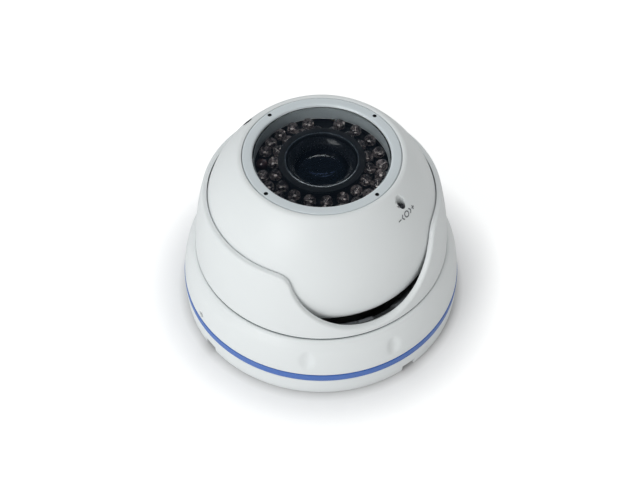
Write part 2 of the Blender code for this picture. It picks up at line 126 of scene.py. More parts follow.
def noise(tree, scale, detail, where, stretch=(1.0, 1.0, 1.0)):
    """A noise texture in object space; scale counts features in a metre."""
    mapping = node(tree, "ShaderNodeMapping")
    mapping.inputs["Scale"].default_value = stretch
    tree.links.new(where.outputs["Object"], mapping.inputs["Vector"])
    made = node(tree, "ShaderNodeTexNoise")
    made.inputs["Scale"].default_value = scale
    made.inputs["Detail"].default_value = detail
    tree.links.new(mapping.outputs["Vector"], made.inputs["Vector"])
    return made


def ramp(tree, source, low, high, start=0.0, end=1.0):
    """Low where the source is at start, high where it's at end, and held there beyond them."""
    made = node(tree, "ShaderNodeMapRange")
    made.inputs["From Min"].default_value = start
    made.inputs["From Max"].default_value = end
    made.inputs["To Min"].default_value = low
    made.inputs["To Max"].default_value = high
    tree.links.new(source, made.inputs["Value"])
    return made.outputs["Result"]


def tint(tree, source, first, second):
    """Blends from the first colour to the second as the source goes from 0 to 1."""
    made = node(tree, "ShaderNodeMix", data_type="RGBA")
    made.inputs[MIX_A].default_value = (*first, 1.0)
    made.inputs[MIX_B].default_value = (*second, 1.0)
    tree.links.new(source, made.inputs[MIX_FACTOR])
    return made.outputs[MIX_RESULT]


def bump(tree, source, strength, distance):
    made = node(tree, "ShaderNodeBump")
    made.inputs["Strength"].default_value = strength
    made.inputs["Distance"].default_value = distance
    tree.links.new(source, made.inputs["Height"])
    return made.outputs["Normal"]


def finish(name, colour, rough, grain, mottle, spread, metallic=0.0, coat=0.0,
           stretch=(1.0, 1.0, 1.0), strength=0.35, specular=0.5):
    """A painted, moulded or cast surface: slow colour drift, fine grain in relief, uneven gloss.

    Grain is the fine noise's scale and its depth in metres. Mottle is the slow drift's scale, and
    spread how far the drift goes to each side of the colour.
    """
    made, tree, shader = shader_of(name)
    where = node(tree, "ShaderNodeTexCoord")
    slow = noise(tree, mottle, 4.0, where)
    fine = noise(tree, grain[0], 3.0, where, stretch)
    darker = tuple(max(0.0, c * (1.0 - spread)) for c in colour)
    lighter = tuple(min(1.0, c * (1.0 + spread)) for c in colour)
    tree.links.new(tint(tree, slow.outputs["Fac"], darker, lighter), shader.inputs["Base Color"])
    gloss = ramp(tree, fine.outputs["Fac"], rough - GLOSS_SPREAD, rough + GLOSS_SPREAD, *NOISE_SPAN)
    tree.links.new(gloss, shader.inputs["Roughness"])
    relief = bump(tree, fine.outputs["Fac"], strength, grain[1])
    tree.links.new(relief, shader.inputs["Normal"])
    shader.inputs["Metallic"].default_value = metallic
    shader.inputs["Specular IOR Level"].default_value = specular
    shader.inputs["Coat Weight"].default_value = coat
    shader.inputs["Coat Roughness"].default_value = 0.2
    return made


def glint_speckle(name, dark, bright, scale, rough, metallic):
    """A bright metal broken into small light and dark patches, as through a moulded lens: painted glints
    and dark reflections.
    """
    made, tree, shader = shader_of(name)
    where = node(tree, "ShaderNodeTexCoord")
    glint_patches = noise(tree, scale, 3.0, where)
    glint_level = ramp(tree, glint_patches.outputs["Fac"], 0.0, 1.0, 0.44, 0.68)
    tree.links.new(tint(tree, glint_level, dark, bright), shader.inputs["Base Color"])
    tree.links.new(ramp(tree, glint_level, rough + 0.2, rough), shader.inputs["Roughness"])
    tree.links.new(bump(tree, glint_patches.outputs["Fac"], 0.7, 0.0002), shader.inputs["Normal"])
    shader.inputs["Metallic"].default_value = metallic
    return made


def clear(name, colour, rough, ior, specular=0.5, ripple=0.00001):
    """A clear moulded or ground body. Each piece this script builds from it is set to cast no shadow, so
    light reaches what is behind it.
    """
    made, tree, shader = shader_of(name)
    where = node(tree, "ShaderNodeTexCoord")
    wave = noise(tree, 220.0, 2.0, where)
    shader.inputs["Base Color"].default_value = (*colour, 1.0)
    shader.inputs["Transmission Weight"].default_value = 1.0
    shader.inputs["IOR"].default_value = ior
    shader.inputs["Specular IOR Level"].default_value = specular
    gloss = ramp(tree, wave.outputs["Fac"], rough, rough + 0.015, *NOISE_SPAN)
    tree.links.new(gloss, shader.inputs["Roughness"])
    tree.links.new(bump(tree, wave.outputs["Fac"], 0.1, ripple), shader.inputs["Normal"])
    return made


def board_paint(name, mask, track):
    """Solder mask over copper: wide tracks show as a slightly lighter, raised pattern."""
    made, tree, shader = shader_of(name)
    where = node(tree, "ShaderNodeTexCoord")
    cells = node(tree, "ShaderNodeTexVoronoi", feature="DISTANCE_TO_EDGE")
    cells.inputs["Scale"].default_value = 260.0
    tree.links.new(where.outputs["Object"], cells.inputs["Vector"])
    edge = ramp(tree, cells.outputs["Distance"], 1.0, 0.0, 0.05, 0.09)
    tree.links.new(tint(tree, edge, mask, track), shader.inputs["Base Color"])
    fine = noise(tree, 1500.0, 2.0, where)
    tree.links.new(ramp(tree, fine.outputs["Fac"], 0.28, 0.42), shader.inputs["Roughness"])
    tree.links.new(bump(tree, edge, 0.4, 0.00004), shader.inputs["Normal"])
    return made


PAINT = finish("paint_white", (0.775, 0.800, 0.805), 0.42, (1500.0, 0.00003), 35.0, 0.012, strength=0.22)
# Grey in place of the white paint on the window's bore: painted shade.
BORE_SHADE_GREY = finish("painted_bore_shade", (0.31, 0.345, 0.36), 0.5, (900.0, 0.00005), 60.0, 0.04)
SILVER = finish("paint_silver", (0.73, 0.785, 0.81), 0.36, (2600.0, 0.00003), 70.0, 0.02, 0.15)
STRIPE = finish("stripe_blue", (0.064, 0.158, 0.490), 0.42, (1300.0, 0.00003), 90.0, 0.05)
MOULD_BLACK = finish("moulded_black", (0.004, 0.005, 0.007), 0.45, (1800.0, 0.00004), 120.0, 0.25,
                     specular=0.22)
SATIN_BLACK = finish("satin_black", (0.005, 0.006, 0.008), 0.24, (2200.0, 0.00002), 120.0, 0.2,
                     specular=0.25)
EDGE_BLACK = finish("edge_polished", (0.22, 0.235, 0.25), 0.2, (2200.0, 0.00001), 120.0, 0.1, 0.95)
MOULD_DARK = finish("moulded_dark", (0.045, 0.050, 0.055), 0.5, (1200.0, 0.00006), 90.0, 0.12)
# Dark grey for a ring in the gap between cover and base: painted shade in the seam.
SEAM_SHADE_GREY = finish("painted_seam_shade", (0.055, 0.085, 0.092), 0.7, (1600.0, 0.00006), 80.0, 0.12)
CUP_GREY = finish("moulded_cup", (0.11, 0.118, 0.125), 0.45, (1200.0, 0.00006), 90.0, 0.12)
# Black rubber for the gaskets; it also lines the rear adjuster hole as painted shade.
RUBBER_AND_HOLE_SHADE = finish("rubber_with_hole_shade", (0.016, 0.016, 0.017), 0.75, (1600.0, 0.00008), 80.0, 0.15)
ZINC = finish("zinc_plated", (0.55, 0.55, 0.56), 0.3, (2400.0, 0.00003), 300.0, 0.08, 1.0)
BLACK_STEEL = finish("black_steel", (0.09, 0.09, 0.10), 0.38, (2400.0, 0.00003), 300.0, 0.12, 1.0)
# Black for the sunk screw heads, and for the rings in their bores, which are painted shade.
SCREW_AND_BORE_SHADE_BLACK = finish("screw_heads_and_bore_shade", (0.006, 0.007, 0.010), 0.5, (2400.0, 0.00003), 300.0, 0.12,
                     specular=0.25)
TURNED_BRASS = finish("turned_brass", (0.72, 0.55, 0.28), 0.32, (1400.0, 0.00003), 200.0, 0.08, 1.0,
                      stretch=(1.0, 1.0, 9.0))
CHIP = finish("chip_resin", (0.018, 0.018, 0.022), 0.34, (3000.0, 0.00003), 400.0, 0.2)
NYLON = finish("nylon_natural", (0.76, 0.75, 0.70), 0.46, (1500.0, 0.00004), 120.0, 0.04)
RED_WINDOW = finish("sensor_red", (0.030, 0.011, 0.011), 0.16, (900.0, 0.00002), 500.0, 0.3, coat=0.6)
# The lamps' lead frames, their colour broken into light and dark patches: painted glints and dark
# reflections.
FRAME_WITH_GLINTS = glint_speckle("led_frame_glints", (0.050, 0.043, 0.045), (0.58, 0.52, 0.51), 1500.0, 0.2, 0.55)
# White for the lamps' dies and wires, and for small chips that are painted glints.
DIE_AND_GLINT_WHITE = finish("led_die_glint_white", (0.93, 0.88, 0.85), 0.25, (4000.0, 0.00002), 1500.0, 0.06)
PRINT = finish("print_grey", (0.17, 0.18, 0.19), 0.6, (4000.0, 0.00001), 600.0, 0.2)
GREEN_BOARD = board_paint("board_green", (0.012, 0.075, 0.035), (0.03, 0.14, 0.07))
BLACK_BOARD = board_paint("board_black", (0.006, 0.006, 0.007), (0.014, 0.014, 0.015))
PANE = clear("pane_glass", (0.965, 0.985, 0.985), 0.0, 1.45, 0.22)
EPOXY = clear("led_epoxy", (0.86, 0.80, 0.79), 0.02, 1.5, 0.5, 0.00003)
LENS = clear("lens_coated", (0.10, 0.15, 0.28), 0.0, 1.6, 0.07)

FINISH_OF_SLOT = {
    "white_paint": PAINT, "bezel_grey": SILVER, "blue_trim": STRIPE, "black_plastic": MOULD_BLACK,
    "dark_plastic": MOULD_DARK, "black_rubber": RUBBER_AND_HOLE_SHADE, "steel": ZINC, "dark_steel": BLACK_STEEL,
    "brass": TURNED_BRASS, "clear_glass": PANE, "lens_glass": LENS, "led_epoxy": EPOXY,
    "green_board": GREEN_BOARD, "chip_black": CHIP, "sensor_red": RED_WINDOW, "connector_white": NYLON,
}
# CAD nodes that differ from the rest of their slot.
FINISH_OF_NODE = {"led_board": BLACK_BOARD, "focus_adjuster": BLACK_STEEL}


# ---------------------------------------------------------------- shapes

# A profile's point closer to the axis than this lies on it.
ON_AXIS = 1e-6
# A corner more open than this is left as it is when a profile is softened.
NEARLY_STRAIGHT = math.radians(172)
# The bevel on a carved piece rounds the edges sharper than this.
BEVEL_ANGLE = math.radians(50)
BEVEL_SEGMENTS = 2


def polar(azimuth, radius):
    angle = math.radians(azimuth)
    return radius * math.sin(angle), -radius * math.cos(angle)


def lift(profile, name):
    """How far the profile is raised, in mm, to stand on its CAD node's underside."""
    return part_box(name)[0].z / MM - min(z for _, z in profile)


def softened(profile, reach, points=4):
    """The closed profile with each corner replaced by a small curve."""
    made = []
    count = len(profile)
    for i, here in enumerate(profile):
        before, after = profile[i - 1], profile[(i + 1) % count]
        to_before = Vector(before) - Vector(here)
        to_after = Vector(after) - Vector(here)
        size = min(reach, 0.45 * to_before.length, 0.45 * to_after.length)
        if here[0] < ON_AXIS or size < 1e-4 or to_before.angle(to_after) > NEARLY_STRAIGHT:
            made.append(tuple(here))
            continue
        start = Vector(here) + to_before.normalized() * size
        end = Vector(here) + to_after.normalized() * size
        for k in range(points + 1):
            t = k / points
            made.append(tuple((1 - t) ** 2 * start + 2 * t * (1 - t) * Vector(here) + t * t * end))
    return made


def arc(radius, z_from, z_to, count):
    """Points (r, z) on a sphere about the ball's centre, from one height to another."""
    start = math.asin((z_from - BALL_Z) / radius)
    end = math.asin((z_to - BALL_Z) / radius)
    angles = [start + (end - start) * i / (count - 1) for i in range(count)]
    return [(radius * math.cos(a), BALL_Z + radius * math.sin(a)) for a in angles]


def lathe_into(bm, profile, steps, raised=0.0, centre=(0.0, 0.0), closed=True):
    """A turned solid from a profile; a point on the axis becomes one pole."""
    rings = []
    for radius, z in profile:
        if radius < ON_AXIS:
            pole = bm.verts.new((centre[0] * MM, centre[1] * MM, (z + raised) * MM))
            rings.append([pole] * steps)
            continue
        ring = []
        for i in range(steps):
            x, y = polar(360.0 * i / steps, radius)
            ring.append(bm.verts.new(((x + centre[0]) * MM, (y + centre[1]) * MM, (z + raised) * MM)))
        rings.append(ring)
    last = len(rings) if closed else len(rings) - 1
    for j in range(last):
        lower, upper = rings[j], rings[(j + 1) % len(rings)]
        for i in range(steps):
            k = (i + 1) % steps
            corners = []
            for v in (lower[i], lower[k], upper[k], upper[i]):
                if v not in corners:
                    corners.append(v)
            if len(corners) > 2:
                bm.faces.new(corners)


def made_object(name, bm, finish_used, smooth_deg=SMOOTH_DEG):
    bmesh.ops.recalc_face_normals(bm, faces=bm.faces[:])
    mesh = bpy.data.meshes.new(name)
    bm.to_mesh(mesh)
    bm.free()
    mesh.shade_smooth()
    mesh.set_sharp_from_angle(angle=math.radians(smooth_deg))
    mesh.materials.append(finish_used)
    made = bpy.data.objects.new(name, mesh)
    scene.collection.objects.link(made)
    return made


def lathe(name, profile, steps, finish_used, node_name=None, soft=0.0, smooth_deg=SMOOTH_DEG):
    """A turned piece that needs no cutting."""
    raised = lift(profile, node_name) if node_name else 0.0
    bm = bmesh.new()
    lathe_into(bm, softened(profile, soft) if soft else profile, steps, raised)
    return made_object(name, bm, finish_used, smooth_deg)


def apply_modifiers(obj):
    """Replaces the object's mesh by what its modifiers make of it."""
    graph = bpy.context.evaluated_depsgraph_get()
    mesh = bpy.data.meshes.new_from_object(obj.evaluated_get(graph))
    mesh.name = obj.name
    obj.modifiers.clear()
    obj.data = mesh
    mesh.shade_smooth()
    mesh.set_sharp_from_angle(angle=math.radians(SMOOTH_DEG))


def carve(obj, bm, rounding=0.0):
    """Takes the cutter away from the object, with an optional small bevel on the sharp edges."""
    bmesh.ops.recalc_face_normals(bm, faces=bm.faces[:])
    mesh = bpy.data.meshes.new("cutter")
    bm.to_mesh(mesh)
    bm.free()
    mesh.materials.append(obj.data.materials[0])
    cutter = bpy.data.objects.new("cutter", mesh)
    scene.collection.objects.link(cutter)
    boolean = obj.modifiers.new("carve", "BOOLEAN")
    boolean.operation = "DIFFERENCE"
    boolean.solver = "EXACT"
    boolean.object = cutter
    if rounding:
        bevel = obj.modifiers.new("round", "BEVEL")
        bevel.width = rounding * MM
        bevel.segments = BEVEL_SEGMENTS
        bevel.limit_method = "ANGLE"
        bevel.angle_limit = BEVEL_ANGLE
        bevel.use_clamp_overlap = False
    apply_modifiers(obj)
    bpy.data.objects.remove(cutter, do_unlink=True)
    return obj


def bar_into(bm, radius, z_low, z_high, centre, steps=SMALL):
    """An upright round bar."""
    profile = [(0.0, z_high), (radius, z_high), (radius, z_low), (0.0, z_low)]
    lathe_into(bm, profile, steps, 0.0, centre, closed=False)


def centre_of(name):
    """The middle of a CAD node's box in plan, in mm."""
    low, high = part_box(name)
    return 0.5 * (low.x + high.x) / MM, 0.5 * (low.y + high.y) / MM


def box_into(bm, size, at, azimuth=0.0, tilt=0.0):
    """A block of size (across, out, up) whose centre is at a point, turned to face an azimuth."""
    turn = Matrix.Rotation(math.radians(azimuth), 4, "Z") @ Matrix.Rotation(math.radians(tilt), 4, "X")
    made = bmesh.ops.create_cube(bm, size=1.0)
    scale = Matrix.Diagonal((size[0] * MM, size[1] * MM, size[2] * MM, 1.0))
    bmesh.ops.transform(bm, verts=made["verts"],
                        matrix=Matrix.Translation(Vector(at) * MM) @ turn @ scale)


def place(obj, body, slot, *nodes):
    """The piece rides on a body and stands for the CAD nodes named, which are hidden; the slot is not used.
    """
    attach(obj, body)
    if nodes:
        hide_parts(*nodes)


# ---------------------------------------------------------------- base

# The base's visible side wall, which gets a ring of points between each two for the dimples to bend.
WALL_LOW = 13.7
WALL_HIGH = 29.4
WALL_R = 55.0

# Only points beyond this radius and above this height are pushed in.
DIMPLED_R = 57.05
DIMPLED_Z = 13.25
DIMPLE_Z = 21.4
DIMPLE_HALF_WIDTH = 3.0
DIMPLE_HALF_HEIGHT = 4.9
DIMPLE_DEPTH = 1.05

# Notches in the base's bottom edge: (across, out, up), and the circle their middles stand on.
RIM_NOTCH_SIZE = (6.5, 8.0, 7.4)
RIM_NOTCH_CIRCLE = 60.2

# A lock screw's bore: its height, its radius, and the distances from the axis where it begins and ends.
LOCK_SCREW_Z = 16.0
LOCK_SCREW_BORE_R = 1.3
LOCK_SCREW_SPAN = (48.0, 64.0)


def base_profile():
    outline = [(51.0, 29.9), (53.55, 29.9), (53.75, 30.0), (54.0, 30.02), (54.6, 29.78), (55.15, 29.35),
               (55.6, 28.8), (56.3, 27.8), (57.1, 26.55), (57.55, 25.6), (57.95, 24.5), (58.3, 23.3),
               (58.55, 22.2), (58.8, 21.0), (59.05, 19.6), (59.3, 18.0), (59.5, 16.4), (59.65, 14.8),
               (59.74, 13.7), (59.72, 13.3), (59.55, 13.2), (59.0, 13.2), (59.0, 9.4), (59.75, 9.4),
               (59.93, 9.32), (60.0, 9.1), (60.0, 7.5), (60.0, 5.5), (60.0, 4.0), (59.95, 2.6),
               (59.8, 1.1), (59.6, 0.4), (59.1, 0.0), (56.9, 0.0), (56.9, 22.9), (54.8, 22.9),
               (54.8, 26.6), (51.0, 26.6)]
    points = []
    for i, here in enumerate(outline):
        points.append(here)
        after = outline[(i + 1) % len(outline)]
        on_wall = WALL_LOW <= here[1] <= WALL_HIGH and WALL_LOW <= after[1]
        if on_wall and here[0] > WALL_R and after[0] > WALL_R:
            points.append((0.5 * (here[0] + after[0]), 0.5 * (here[1] + after[1])))
    return points


def press_dimples(bm, raised):
    """Pushes the wall in at each thumb dimple, less and less towards its edge."""
    for vert in bm.verts:
        radius = math.hypot(vert.co.x, vert.co.y) / MM
        z = vert.co.z / MM - raised
        if radius < DIMPLED_R or z < DIMPLED_Z:
            continue
        azimuth = math.degrees(math.atan2(vert.co.x, -vert.co.y))
        for dimple in DIMPLE_AZ:
            off = (azimuth - dimple + 180.0) % 360.0 - 180.0
            across = math.radians(off) * radius / DIMPLE_HALF_WIDTH
            along = (z - DIMPLE_Z) / DIMPLE_HALF_HEIGHT
            far = math.hypot(across, along)
            if far < 1.0:
                depth = DIMPLE_DEPTH * (1.0 - far * far)
                vert.co.x *= 1.0 - depth / radius
                vert.co.y *= 1.0 - depth / radius


def housing():
    """The base ring: a closed turned shell with dimples, rim notches and lock screw bores."""
    points = base_profile()
    bm = bmesh.new()
    raised = lift(points, "base_housing")
    lathe_into(bm, points, BASE_STEPS, raised)
    press_dimples(bm, raised)
    made = made_object("base_shell", bm, PAINT)
    cutter = bmesh.new()
    for azimuth in RIM_NOTCH_AZ:
        box_into(cutter, RIM_NOTCH_SIZE, (*polar(azimuth, RIM_NOTCH_CIRCLE), raised), azimuth)
    raise_bore = Matrix.Translation((0, 0, (LOCK_SCREW_Z + raised) * MM))
    for azimuth in LOCK_SCREW_AZ:
        hole = bmesh.new()
        bar_into(hole, LOCK_SCREW_BORE_R, *LOCK_SCREW_SPAN, (0.0, 0.0))
        turn = Matrix.Rotation(math.radians(azimuth), 4, "Z") @ Matrix.Rotation(math.radians(90), 4, "X")
        bmesh.ops.transform(hole, verts=hole.verts[:], matrix=raise_bore @ turn)
        mesh = bpy.data.meshes.new("hole")
        hole.to_mesh(mesh)
        hole.free()
        cutter.from_mesh(mesh)
        bpy.data.meshes.remove(mesh)
    return carve(made, cutter, 0.28)


place(housing(), "base", "white_paint", "base_housing")


def mounting_plate():
    """The foot plate, with a groove for the gasket and three bolt holes."""
    profile = softened([(33.0, 2.6), (55.4, 2.6), (55.4, 0.0), (55.2, 0.0), (55.2, 1.2), (52.2, 1.2),
                        (52.2, 0.0), (33.0, 0.0)], 0.3, 2)
    bm = bmesh.new()
    lathe_into(bm, profile, ROUND, lift(profile, "mounting_plate"))
    made = made_object("foot_plate", bm, PAINT)
    cutter = bmesh.new()
    for azimuth in BOLT_AZ:
        bar_into(cutter, 2.3, -1.0, 4.0, polar(azimuth, BOLT_CIRCLE))
    return carve(made, cutter, 0.2)


place(mounting_plate(), "base", "white_paint", "mounting_plate")

ledge = lathe("pan_ledge",
              [(51.0, 22.6), (56.6, 22.6), (56.6, 19.8), (51.0, 19.8)],
              ROUND, MOULD_DARK, "retaining_ring", 0.3)
place(ledge, "base", "dark_plastic", "retaining_ring")

# A dark ring in the gap between cover and base: painted shade that darkens the seam line.
seam = lathe("seam_shade_line",
             [(51.3, 30.5), (53.3, 30.5), (53.42, 30.4), (53.42, 29.95), (51.3, 29.95)],
             BASE_STEPS, SEAM_SHADE_GREY)
place(seam, "base", "black_rubber")

stripe = lathe("stripe_ring",
               [(59.3, 9.6), (59.9, 9.6), (60.0, 9.75), (60.0, 12.8), (59.85, 13.0), (59.3, 13.0)],
               BASE_STEPS, STRIPE, "blue_trim_ring")
place(stripe, "base", "blue_trim", "blue_trim_ring")

gasket = lathe("foot_gasket",
               [(52.8, 0.9), (55.1, 0.9), (55.1, 0.1), (52.8, 0.1)],
               ROUND, RUBBER_AND_HOLE_SHADE, "base_gasket", 0.2)
place(gasket, "base", "black_rubber", "base_gasket")


# ---------------------------------------------------------------- clamp cover

def bezier(points, count):
    """Points along a cubic curve given by its two ends and two handles."""
    a, b, c, d = (np.array(p) for p in points)
    t = np.linspace(0.0, 1.0, count)[:, None]
    return (1 - t) ** 3 * a + 3 * t * (1 - t) ** 2 * b + 3 * t * t * (1 - t) * c + t ** 3 * d


# The cover's outer wall as a curve through these points, the height of its rim, and its inner wall, which
# ends in a seat that holds the ball.
COVER_HEIGHTS = (30.55, 32.0, 37.0, 42.5, 48.0, 53.5, 58.6, 61.2)
COVER_RADII = (53.7, 53.75, 53.4, 52.8, 52.0, 51.0, 49.85, 49.2)
COVER_CURVE = np.polyfit(COVER_HEIGHTS, COVER_RADII, 3)
COVER_TOP = 61.2
SEAT_R = 49.2
SEAT_FROM_Z = 53.0
INNER_HEIGHTS = (32.2, 36.0, 41.0, 46.0, 50.0, SEAT_FROM_Z)
INNER_RADII = (50.6, 50.9, 50.7, 50.1, 49.5, 48.78)

# The radius at which the cover's edge is unrolled into (arc length, height).
UNROLL_R = 51.0
ONCE_ROUND = 2 * math.pi * UNROLL_R

# Heights from which the outer and the inner wall rise to the edge, and the turned foot between them.
OUTER_FOOT_Z = 31.0
INNER_FOOT_Z = 32.2
COVER_FOOT = ((48.5, 30.0), (48.5, 24.0), (46.8, 20.0), (46.8, 13.0), (50.4, 13.0), (50.4, 24.2),
              (54.2, 24.2), (54.2, 26.2), (50.4, 26.2), (50.4, 30.55), (53.3, 30.55), (53.55, 30.62))

# Points up the outer wall, round the two edges and down the inner wall.
OUTER_POINTS = 13
EDGE_STEPS = 8
INNER_EDGE_STEPS = 4
INNER_STEPS = 8


def cover_outer(z):
    return float(np.polyval(COVER_CURVE, z))


def cover_inner(z):
    if z >= SEAT_FROM_Z:
        return math.sqrt(SEAT_R ** 2 - (z - BALL_Z) ** 2)
    return float(np.interp(z, INNER_HEIGHTS, INNER_RADII))


def rim_side(low, corner):
    """One side of the unrolled upper edge, from the notch's middle to the far side of the cover."""
    half = []
    for u, z in np.vstack([bezier(low, 70), bezier(corner, 26)[1:]]):
        half.append((UNROLL_R * math.asin(u / cover_outer(z)), z))
    start, end = half[-1][0], math.pi * UNROLL_R
    count = 88
    return half + [(start + (end - start) * i / count, COVER_TOP) for i in range(1, count + 1)]


def rim_points():
    """The whole upper edge, once round: the steeper side of the notch first, and the wider one last."""
    steep = rim_side([(0, 33.4), (15.5, 33.4), (26.0, 43.5), (30.4, 56.0)],
                     [(30.4, 56.0), (31.4, 59.4), (32.8, COVER_TOP), (37.0, COVER_TOP)])
    wide = rim_side([(0, 33.4), (19.0, 33.4), (30.0, 43.5), (32.0, 56.0)],
                    [(32.0, 56.0), (32.5, 60.0), (33.4, COVER_TOP), (37.4, COVER_TOP)])
    return steep + [(ONCE_ROUND - s, z) for s, z in wide[-2:0:-1]]


def rim_normals(rim):
    """Unit vectors square to the unrolled edge at each of its points, into the wall."""
    before, after = np.roll(rim, 1, axis=0), np.roll(rim, -1, axis=0)
    before[0, 0] -= ONCE_ROUND
    after[-1, 0] += ONCE_ROUND
    along = after - before
    normal = np.stack([along[:, 1], -along[:, 0]], axis=1)
    return normal / np.linalg.norm(normal, axis=1)[:, None]


def cover():
    """The turret's cover: one column of points through its wall for each point of its upper edge."""
    rim = np.array(rim_points())
    bm = bmesh.new()
    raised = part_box("clamp_cover")[1].z / MM - COVER_TOP

    def vertex(unrolled, radius, z):
        x, y = polar(NOTCH_AZ + math.degrees(unrolled / UNROLL_R), radius)
        return bm.verts.new((x * MM, y * MM, (z + raised) * MM))

    def under_skin(unrolled, z, depth):
        return vertex(unrolled, cover_outer(z) - depth, z)

    columns = []
    for (s, z), (ns, nz) in zip(rim, rim_normals(rim)):
        thick = cover_outer(z) - cover_inner(z - 0.6)
        outer_round, inner_round = 0.42 * thick, 0.14 * thick
        column = []
        base_s, base_z = s + ns * outer_round, z + nz * outer_round
        for k in range(OUTER_POINTS):
            t = (k / (OUTER_POINTS - 1)) ** 1.35
            here_z = OUTER_FOOT_Z + (base_z - OUTER_FOOT_Z) * t
            column.append(under_skin(s + (base_s - s) * t ** 3, here_z, 0.0))
        for k in range(1, EDGE_STEPS + 1):
            a = math.radians(90.0 * (1 - k / EDGE_STEPS))
            d = outer_round * (1 - math.cos(a))
            column.append(under_skin(s + ns * d, z + nz * d, outer_round * (1 - math.sin(a))))
        for k in range(0, INNER_EDGE_STEPS + 1):
            a = math.radians(90.0 * k / INNER_EDGE_STEPS)
            d = inner_round * (1 - math.cos(a))
            depth = cover_outer(z + nz * d) - cover_inner(z + nz * d) - inner_round * (1 - math.sin(a))
            column.append(under_skin(s + ns * d, z + nz * d, depth))
        in_s, in_z = s + ns * inner_round, z + nz * inner_round
        for k in range(1, INNER_STEPS + 1):
            t = 1 - k / INNER_STEPS
            here_z = INNER_FOOT_Z + (in_z - INNER_FOOT_Z) * t
            column.append(vertex(s + (in_s - s) * t, cover_inner(here_z), here_z))
        for radius, foot_z in COVER_FOOT:
            column.append(vertex(s, radius, foot_z))
        columns.append(column)
    count, rows = len(columns), len(columns[0])
    for i in range(count):
        left, right = columns[i], columns[(i + 1) % count]
        for j in range(rows):
            k = (j + 1) % rows
            bm.faces.new((left[j], right[j], right[k], left[k]))
    return made_object("cover_shell", bm, PAINT, 38.0)


place(cover(), "turret", "white_paint", "clamp_cover")


# The six gaps in the cup's rim, with a narrow slit to each side of each.
CUP_GAP_AZ = [31.8 + 60.0 * k for k in range(6)]
CUP_SLIT_OFF = (-14.5, 14.5)


def cup():
    """The dark castellated cup that shows in the notch."""
    profile = ([(50.4, 12.7), (50.4, 11.0)] + arc(49.3, 11.0, 30.2, 22)
               + [(47.3, 31.3), (48.2, 32.5), (48.55, 33.0), (48.8, 33.2), (49.9, 33.2), (50.1, 33.05),
                  (50.12, 32.7), (49.5, 32.0), (48.9, 31.2)] + arc(50.9, 30.3, 12.7, 22))
    bm = bmesh.new()
    lathe_into(bm, profile, ROUND, lift(profile, "ball_cup"))
    made = made_object("ball_cup_ring", bm, CUP_GREY)
    cutter = bmesh.new()
    for azimuth in CUP_GAP_AZ:
        box_into(cutter, (11.0, 8.0, 9.0), (*polar(azimuth, 48.8), 31.5), azimuth)
        for off in CUP_SLIT_OFF:
            box_into(cutter, (1.2, 6.0, 1.6), (*polar(azimuth + off, 49.0), 33.4), azimuth + off)
    return carve(made, cutter, 0.2)


place(cup(), "turret", "dark_plastic", "ball_cup")


# ---------------------------------------------------------------- ball

def front_shell():
    """The ball's front half, with the two adjuster holes."""
    profile = ([(32.0, 80.2), (32.0, 81.55), (32.1, 81.8), (32.35, 81.9), (33.0, 81.9), (33.5, 81.82)]
               + arc(BALL_R, 81.45, 40.2, 90)
               + [(48.24, 39.3), (48.0, 38.3), (47.68, 37.3), (47.28, 36.4), (46.82, 35.5), (46.3, 34.7),
                  (45.75, 34.0), (45.2, 33.35), (44.75, 32.85), (44.4, 32.45), (44.15, 32.25),
                  (43.95, 32.3), (43.85, 32.7), (43.9, 33.6)]
               + arc(46.3, 35.6, 74.0, 40)
               + [(27.2, 74.0), (27.2, 77.5), (28.9, 77.5), (28.9, 80.2)])
    bm = bmesh.new()
    lathe_into(bm, profile, ROUND, lift(profile, "front_shell"))
    made = made_object("ball_shell", bm, PAINT)
    cutter = bmesh.new()
    for azimuth in (FOCUS_HOLE_AZ, ZOOM_HOLE_AZ):
        bar_into(cutter, 2.0, 70.5, 86.0, polar(azimuth, ADJUSTER_CIRCLE))
    return carve(made, cutter, 0.14)


place(front_shell(), "ball_front", "white_paint", "front_shell")


def hole_shade_liner():
    """A black sleeve in the rear adjuster hole, painted shade there: its top follows the ball's slope and
    its foot is level.
    """
    bm = bmesh.new()
    across, out = polar(ZOOM_HOLE_AZ, ADJUSTER_CIRCLE)
    foot_z = 73.5
    rings = []
    for radius, depth in ((1.97, None), (1.97, 0.16), (1.6, 0.2), (1.6, None)):
        ring = []
        for i in range(SMALL):
            x, y = polar(360.0 * i / SMALL, radius)
            x, y = x + across, y + out
            top = BALL_Z + math.sqrt(BALL_R ** 2 - x * x - y * y)
            z = foot_z if depth is None else top - depth
            ring.append(bm.verts.new((x * MM, y * MM, z * MM)))
        rings.append(ring)
    for j, lower in enumerate(rings):
        upper = rings[(j + 1) % len(rings)]
        for i in range(SMALL):
            k = (i + 1) % SMALL
            bm.faces.new((lower[i], lower[k], upper[k], upper[i]))
    return made_object("rear_hole_liner", bm, RUBBER_AND_HOLE_SHADE, 30.0)


place(hole_shade_liner(), "ball_front", "black_rubber")


# A grey sleeve lining the window's bore, seen through the glass at the far side: painted shade on the white
# bore.
sleeve = lathe("window_shade_sleeve",
               [(27.06, 80.1), (27.17, 80.1), (27.17, 74.5), (27.06, 74.5)],
               ROUND, BORE_SHADE_GREY, smooth_deg=40.0)
place(sleeve, "ball_front", "white_paint")


def bezel():
    """The grey ring round the window, with its four screw holes."""
    profile = [(27.7, 80.5), (27.7, 81.25), (27.82, 81.5), (28.05, 81.7), (28.4, 81.82), (28.8, 81.85),
               (31.1, 81.85), (31.35, 81.82), (31.58, 81.7), (31.7, 81.45), (31.7, 80.5)]
    bm = bmesh.new()
    lathe_into(bm, profile, ROUND, lift(profile, "bezel_ring"))
    made = made_object("bezel_plate", bm, SILVER)
    cutter = bmesh.new()
    for azimuth in BEZEL_SCREW_AZ:
        bar_into(cutter, 0.85, 79.0, 84.0, polar(azimuth, BEZEL_SCREW_CIRCLE), TINY)
    return carve(made, cutter, 0.06)


place(bezel(), "ball_front", "bezel_grey", "bezel_ring")


